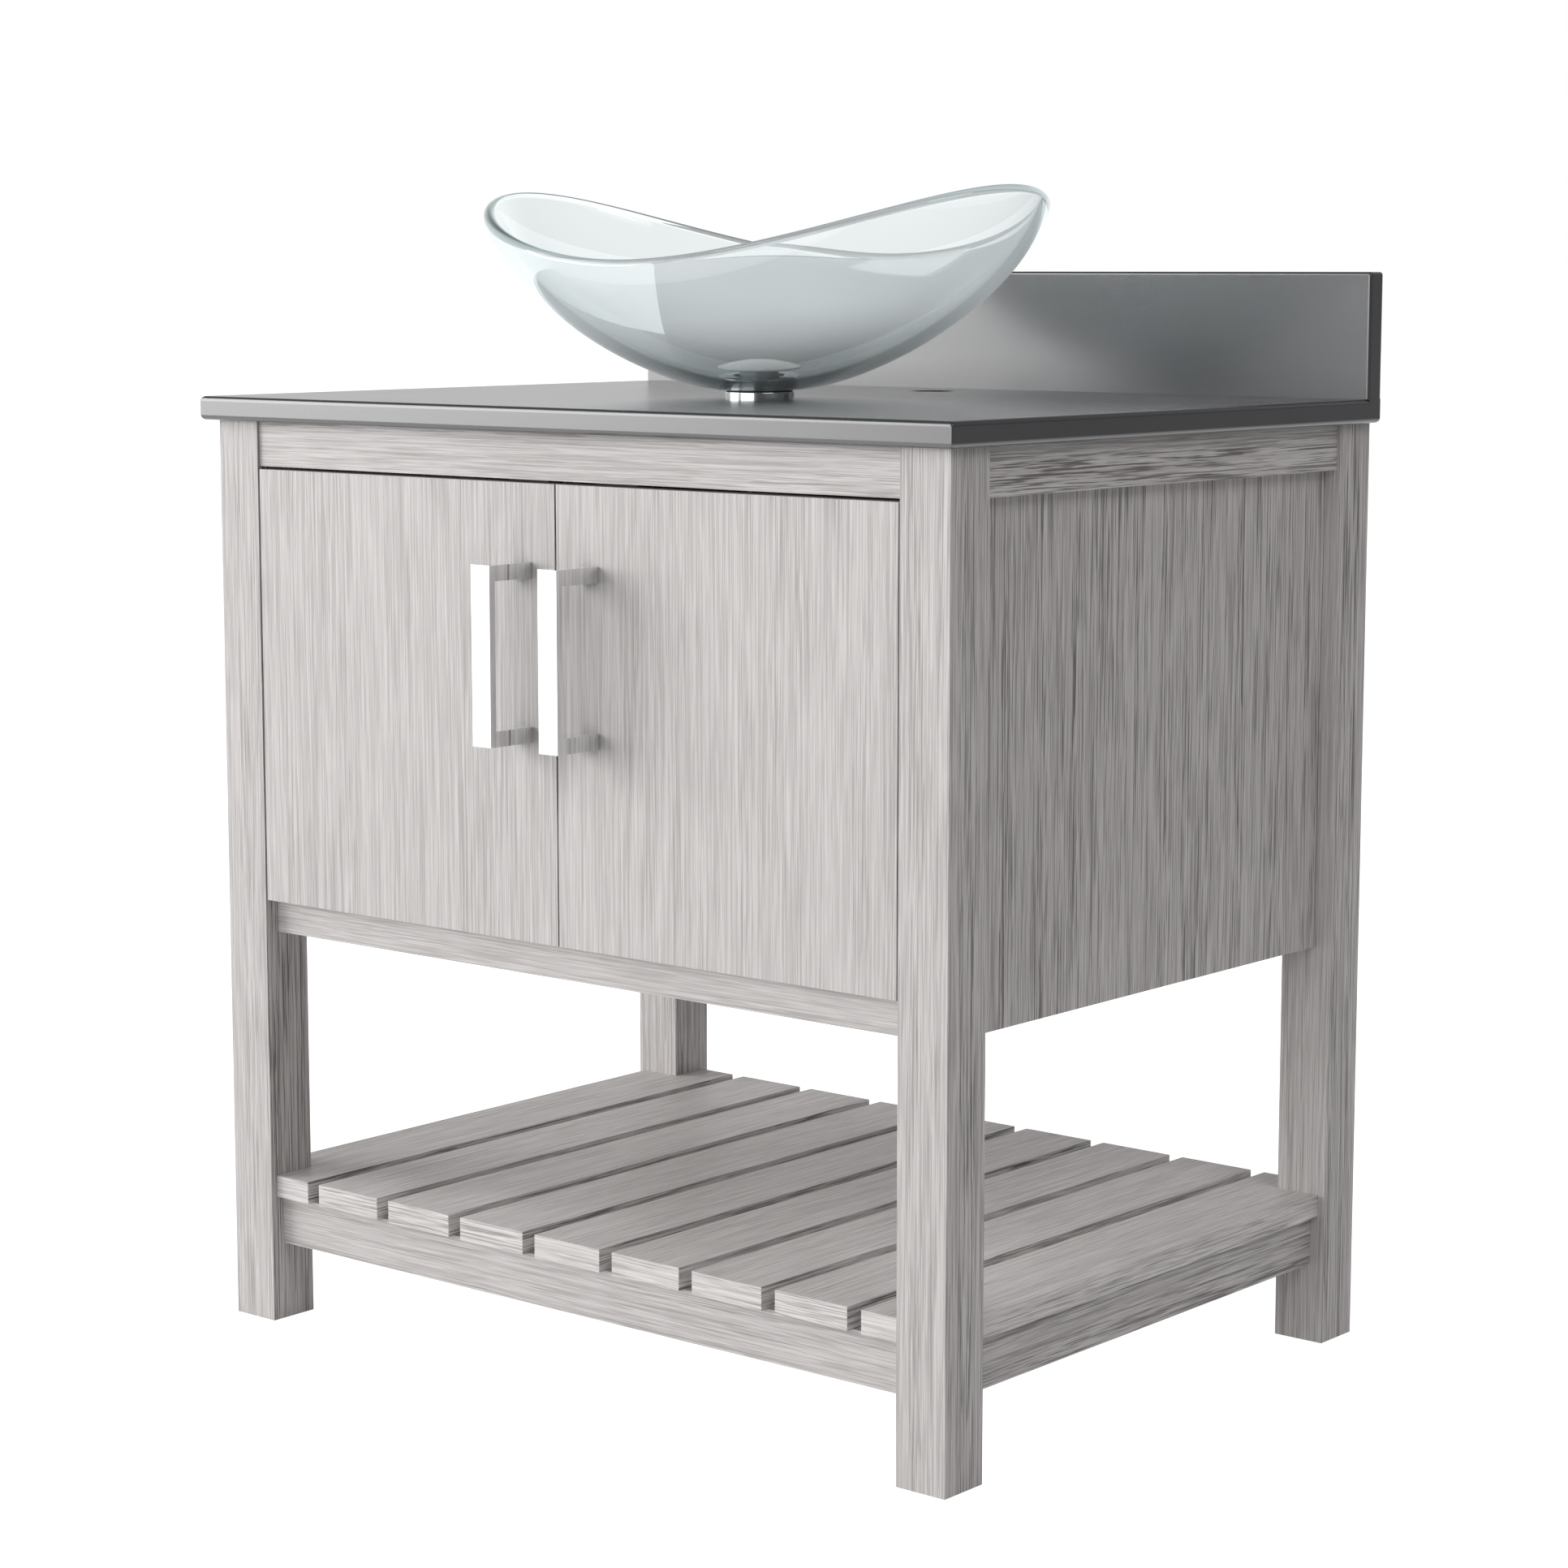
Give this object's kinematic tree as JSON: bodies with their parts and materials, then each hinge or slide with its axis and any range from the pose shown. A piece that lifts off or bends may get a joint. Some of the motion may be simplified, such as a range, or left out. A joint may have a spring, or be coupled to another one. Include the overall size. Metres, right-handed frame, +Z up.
{
  "type": "vessel sink on vanity",
  "caption": "Boat-shaped clear glass vessel basin on a dark stone top, over an open-shelf grey wood vanity with hinged doors and a slatted shelf.",
  "frame": {"origin": "on the floor at the centre of the footprint", "axes": "+Z up, +X to the right of a person facing the doors, +Y towards the wall"},
  "size_m": [0.762, 0.589, 0.9239],
  "materials": {
    "charcoal_stone": "polished",
    "clear_glass": "clear, thick",
    "chrome": "polished",
    "black_rubber": "matt",
    "brass_nut": "plain",
    "black_plastic": "matt",
    "zinc": "satin zinc",
    "steel": "plated",
    "plain_wood": "raw",
    "door_wood": "light grey grained laminate",
    "shelf_wood": "light grey grained laminate",
    "frame_wood": "light grey grained laminate"
  },
  "bodies": {
    "vanity": {"back_panel": "frame_wood", "backsplash": "charcoal_stone", "bottom_rail_front": "frame_wood", "bottom_rail_rear": "frame_wood", "bowl_gasket": "black_rubber", "cabinet_floor": "frame_wood", "corner_blocks": "plain_wood", "countertop": "charcoal_stone", "drain_body": "chrome", "drain_cartridge": "black_plastic", "drain_locknut": "brass_nut", "drain_washer": "black_rubber", "frame_screws": "steel", "hinge_frame_cases": "zinc", "leg_front_left": "frame_wood", "leg_front_right": "frame_wood", "leg_rear_left": "frame_wood", "leg_rear_right": "frame_wood", "magnetic_catches": "black_plastic", "mounting_ring": "chrome", "rail_dowels": "plain_wood", "shelf_slat_1": "shelf_wood", "shelf_slat_2": "shelf_wood", "shelf_slat_3": "shelf_wood", "shelf_slat_4": "shelf_wood", "shelf_slat_5": "shelf_wood", "shelf_slat_6": "shelf_wood", "shelf_slat_7": "shelf_wood", "shelf_slat_8": "shelf_wood", "shelf_slat_9": "shelf_wood", "side_panel_left": "frame_wood", "side_panel_right": "frame_wood", "stretcher_front": "shelf_wood", "stretcher_left": "shelf_wood", "stretcher_rear": "shelf_wood", "stretcher_right": "shelf_wood", "tailpiece": "chrome", "top_rail_front": "frame_wood", "top_rail_left": "frame_wood", "top_rail_rear": "frame_wood", "top_rail_right": "frame_wood", "vessel_bowl": "clear_glass"},
    "left_door": {"door_left": "door_wood", "handle_left": "chrome", "handle_screws_left": "steel", "strike_plate_left": "steel", "hinge_door_cases_left": "zinc", "hinge_door_screws_left": "steel"},
    "right_door": {"door_right": "door_wood", "handle_right": "chrome", "handle_screws_right": "steel", "strike_plate_right": "steel", "hinge_door_cases_right": "zinc", "hinge_door_screws_right": "steel"},
    "left_frame_links": {"hinge_frame_links_left": "steel"},
    "left_door_links": {"hinge_door_links_left": "steel"},
    "right_frame_links": {"hinge_frame_links_right": "steel"},
    "right_door_links": {"hinge_door_links_right": "steel"},
    "popup": {"popup_cap": "chrome", "popup_seal": "black_rubber"}
  },
  "joints": [
    {"name": "left_door_swing", "type": "hinge", "parent": "vanity", "child": "left_door", "pos_m": [-0.32612, -0.249, 0.528], "axis": [0, 0, -1], "range_deg": [0, 100]},
    {"name": "left_frame_link_turn", "type": "hinge", "parent": "vanity", "child": "left_frame_links", "pos_m": [-0.32963, -0.242, 0.528], "axis": [0, 0, -1], "range_deg": [0, 100]},
    {"name": "left_door_link_turn", "type": "hinge", "parent": "left_door", "child": "left_door_links", "pos_m": [-0.32262, -0.242, 0.528], "axis": [0, 0, -1], "range_deg": [-100, 0]},
    {"name": "right_door_swing", "type": "hinge", "parent": "vanity", "child": "right_door", "pos_m": [0.32612, -0.249, 0.528], "axis": [0, 0, 1], "range_deg": [0, 100]},
    {"name": "right_frame_link_turn", "type": "hinge", "parent": "vanity", "child": "right_frame_links", "pos_m": [0.32963, -0.242, 0.528], "axis": [0, 0, 1], "range_deg": [0, 100]},
    {"name": "right_door_link_turn", "type": "hinge", "parent": "right_door", "child": "right_door_links", "pos_m": [0.32262, -0.242, 0.528], "axis": [0, 0, 1], "range_deg": [-100, 0]},
    {"name": "popup_slide", "type": "slide", "parent": "vanity", "child": "popup", "axis": [0, 0, 1], "range_m": [-0.006, 0]}
  ],
  "couplings": [
    {"joint": "left_frame_link_turn", "follows": "left_door_swing", "ratio": 1},
    {"joint": "left_door_link_turn", "follows": "left_door_swing", "ratio": -1},
    {"joint": "right_frame_link_turn", "follows": "right_door_swing", "ratio": 1},
    {"joint": "right_door_link_turn", "follows": "right_door_swing", "ratio": -1}
  ]
}
